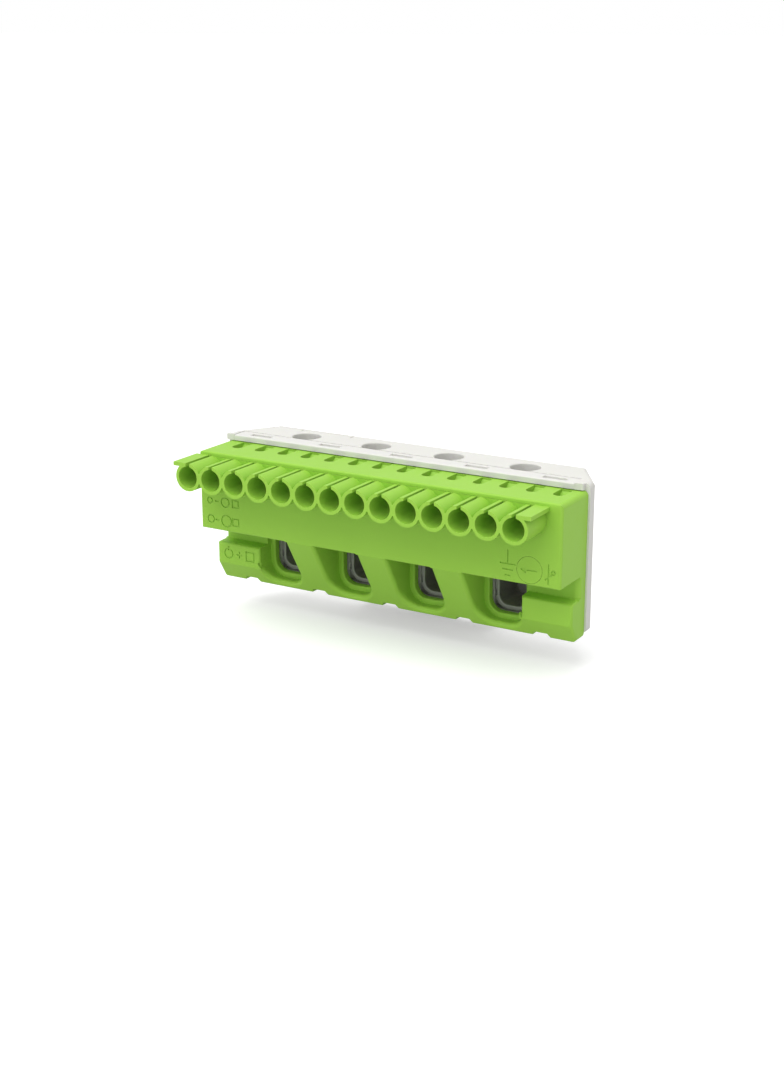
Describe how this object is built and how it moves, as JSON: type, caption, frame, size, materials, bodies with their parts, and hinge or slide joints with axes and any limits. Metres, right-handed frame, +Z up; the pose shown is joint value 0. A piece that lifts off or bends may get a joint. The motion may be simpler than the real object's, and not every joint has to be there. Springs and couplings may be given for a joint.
{
  "type": "din rail terminal block",
  "caption": "Distribution terminal block for a DIN rail: a row of slit push-in wire tubes above a row of screw cage clamps, green housing on a white rear carrier with rail foot.",
  "frame": {"origin": "centre of the face of the foot that rests on the rail, midway between the rail's edges", "axes": "+X along the rail, to the right seen from the front; +Y towards the rail; +Z up"},
  "size_m": [0.0886, 0.0386, 0.0398],
  "materials": {
    "green_plastic": "satin moulded polyamide",
    "white_plastic": "satin moulded polyamide",
    "marker_white": "satin",
    "busbar_brass": "stamped",
    "spring_steel": "spring steel",
    "cage_steel": "passivated",
    "screw_steel": "zinc plated"
  },
  "bodies": {
    "block": {"housing": "green_plastic", "entry_strip": "green_plastic", "carrier": "white_plastic", "marker_strip": "marker_white", "busbar": "busbar_brass", "spring_strip": "spring_steel", "latch_spring": "spring_steel"},
    "screw_1": {"clamp_screw_1": "screw_steel"},
    "cage_1": {"cage_clamp_1": "cage_steel"},
    "screw_2": {"clamp_screw_2": "screw_steel"},
    "cage_2": {"cage_clamp_2": "cage_steel"},
    "screw_3": {"clamp_screw_3": "screw_steel"},
    "cage_3": {"cage_clamp_3": "cage_steel"},
    "screw_4": {"clamp_screw_4": "screw_steel"},
    "cage_4": {"cage_clamp_4": "cage_steel"},
    "leaf_01": {"push_in_spring_01": "spring_steel"},
    "leaf_02": {"push_in_spring_02": "spring_steel"},
    "leaf_03": {"push_in_spring_03": "spring_steel"},
    "leaf_04": {"push_in_spring_04": "spring_steel"},
    "leaf_05": {"push_in_spring_05": "spring_steel"},
    "leaf_06": {"push_in_spring_06": "spring_steel"},
    "leaf_07": {"push_in_spring_07": "spring_steel"},
    "leaf_08": {"push_in_spring_08": "spring_steel"},
    "leaf_09": {"push_in_spring_09": "spring_steel"},
    "leaf_10": {"push_in_spring_10": "spring_steel"},
    "leaf_11": {"push_in_spring_11": "spring_steel"},
    "leaf_12": {"push_in_spring_12": "spring_steel"},
    "leaf_13": {"push_in_spring_13": "spring_steel"},
    "leaf_14": {"push_in_spring_14": "spring_steel"},
    "dial": {"selector_dial": "green_plastic"},
    "latch": {"rail_latch": "white_plastic"}
  },
  "joints": [
    {"name": "cage_rise_1", "type": "slide", "parent": "block", "child": "cage_1", "axis": [0, 0, 1], "range_m": [0, 0.0064]},
    {"name": "screw_turn_1", "type": "hinge", "parent": "block", "child": "screw_1", "pos_m": [-0.027, -0.0099, 0.0133], "axis": [0, 0, -1], "range_deg": [0, 2880.1]},
    {"name": "cage_rise_2", "type": "slide", "parent": "block", "child": "cage_2", "axis": [0, 0, 1], "range_m": [0, 0.0064]},
    {"name": "screw_turn_2", "type": "hinge", "parent": "block", "child": "screw_2", "pos_m": [-0.009, -0.0099, 0.0133], "axis": [0, 0, -1], "range_deg": [0, 2880.1]},
    {"name": "cage_rise_3", "type": "slide", "parent": "block", "child": "cage_3", "axis": [0, 0, 1], "range_m": [0, 0.0064]},
    {"name": "screw_turn_3", "type": "hinge", "parent": "block", "child": "screw_3", "pos_m": [0.009, -0.0099, 0.0133], "axis": [0, 0, -1], "range_deg": [0, 2880.1]},
    {"name": "cage_rise_4", "type": "slide", "parent": "block", "child": "cage_4", "axis": [0, 0, 1], "range_m": [0, 0.0064]},
    {"name": "screw_turn_4", "type": "hinge", "parent": "block", "child": "screw_4", "pos_m": [0.027, -0.0099, 0.0133], "axis": [0, 0, -1], "range_deg": [0, 2880.1]},
    {"name": "leaf_open_01", "type": "hinge", "parent": "block", "child": "leaf_01", "pos_m": [-0.03985, -0.0245, 0.01255], "axis": [-1, 0, 0], "range_deg": [0, 20], "stiffness_Nm_per_rad": 0.02, "springref_deg": -20.05},
    {"name": "leaf_open_02", "type": "hinge", "parent": "block", "child": "leaf_02", "pos_m": [-0.03385, -0.0245, 0.01255], "axis": [-1, 0, 0], "range_deg": [0, 20], "stiffness_Nm_per_rad": 0.02, "springref_deg": -20.05},
    {"name": "leaf_open_03", "type": "hinge", "parent": "block", "child": "leaf_03", "pos_m": [-0.02785, -0.0245, 0.01255], "axis": [-1, 0, 0], "range_deg": [0, 20], "stiffness_Nm_per_rad": 0.02, "springref_deg": -20.05},
    {"name": "leaf_open_04", "type": "hinge", "parent": "block", "child": "leaf_04", "pos_m": [-0.02185, -0.0245, 0.01255], "axis": [-1, 0, 0], "range_deg": [0, 20], "stiffness_Nm_per_rad": 0.02, "springref_deg": -20.05},
    {"name": "leaf_open_05", "type": "hinge", "parent": "block", "child": "leaf_05", "pos_m": [-0.01585, -0.0245, 0.01255], "axis": [-1, 0, 0], "range_deg": [0, 20], "stiffness_Nm_per_rad": 0.02, "springref_deg": -20.05},
    {"name": "leaf_open_06", "type": "hinge", "parent": "block", "child": "leaf_06", "pos_m": [-0.00985, -0.0245, 0.01255], "axis": [-1, 0, 0], "range_deg": [0, 20], "stiffness_Nm_per_rad": 0.02, "springref_deg": -20.05},
    {"name": "leaf_open_07", "type": "hinge", "parent": "block", "child": "leaf_07", "pos_m": [-0.00385, -0.0245, 0.01255], "axis": [-1, 0, 0], "range_deg": [0, 20], "stiffness_Nm_per_rad": 0.02, "springref_deg": -20.05},
    {"name": "leaf_open_08", "type": "hinge", "parent": "block", "child": "leaf_08", "pos_m": [0.00215, -0.0245, 0.01255], "axis": [-1, 0, 0], "range_deg": [0, 20], "stiffness_Nm_per_rad": 0.02, "springref_deg": -20.05},
    {"name": "leaf_open_09", "type": "hinge", "parent": "block", "child": "leaf_09", "pos_m": [0.00815, -0.0245, 0.01255], "axis": [-1, 0, 0], "range_deg": [0, 20], "stiffness_Nm_per_rad": 0.02, "springref_deg": -20.05},
    {"name": "leaf_open_10", "type": "hinge", "parent": "block", "child": "leaf_10", "pos_m": [0.01415, -0.0245, 0.01255], "axis": [-1, 0, 0], "range_deg": [0, 20], "stiffness_Nm_per_rad": 0.02, "springref_deg": -20.05},
    {"name": "leaf_open_11", "type": "hinge", "parent": "block", "child": "leaf_11", "pos_m": [0.02015, -0.0245, 0.01255], "axis": [-1, 0, 0], "range_deg": [0, 20], "stiffness_Nm_per_rad": 0.02, "springref_deg": -20.05},
    {"name": "leaf_open_12", "type": "hinge", "parent": "block", "child": "leaf_12", "pos_m": [0.02615, -0.0245, 0.01255], "axis": [-1, 0, 0], "range_deg": [0, 20], "stiffness_Nm_per_rad": 0.02, "springref_deg": -20.05},
    {"name": "leaf_open_13", "type": "hinge", "parent": "block", "child": "leaf_13", "pos_m": [0.03215, -0.0245, 0.01255], "axis": [-1, 0, 0], "range_deg": [0, 20], "stiffness_Nm_per_rad": 0.02, "springref_deg": -20.05},
    {"name": "leaf_open_14", "type": "hinge", "parent": "block", "child": "leaf_14", "pos_m": [0.03815, -0.0245, 0.01255], "axis": [-1, 0, 0], "range_deg": [0, 20], "stiffness_Nm_per_rad": 0.02, "springref_deg": -20.05},
    {"name": "dial_turn", "type": "hinge", "parent": "block", "child": "dial", "pos_m": [0.0369, -0.0275, 0.00505], "axis": [0, -1, 0], "range_deg": [0, 180]},
    {"name": "latch_pull", "type": "slide", "parent": "block", "child": "latch", "axis": [0, 0, -1], "range_m": [0, 0.0026], "stiffness_N_per_m": 800, "springref_m": -0.001, "deforming": ["latch_spring"]}
  ],
  "couplings": [
    {"joint": "screw_turn_1", "follows": "cage_rise_1", "rad_per_m": 7854},
    {"joint": "screw_turn_2", "follows": "cage_rise_2", "rad_per_m": 7854},
    {"joint": "screw_turn_3", "follows": "cage_rise_3", "rad_per_m": 7854},
    {"joint": "screw_turn_4", "follows": "cage_rise_4", "rad_per_m": 7854}
  ]
}
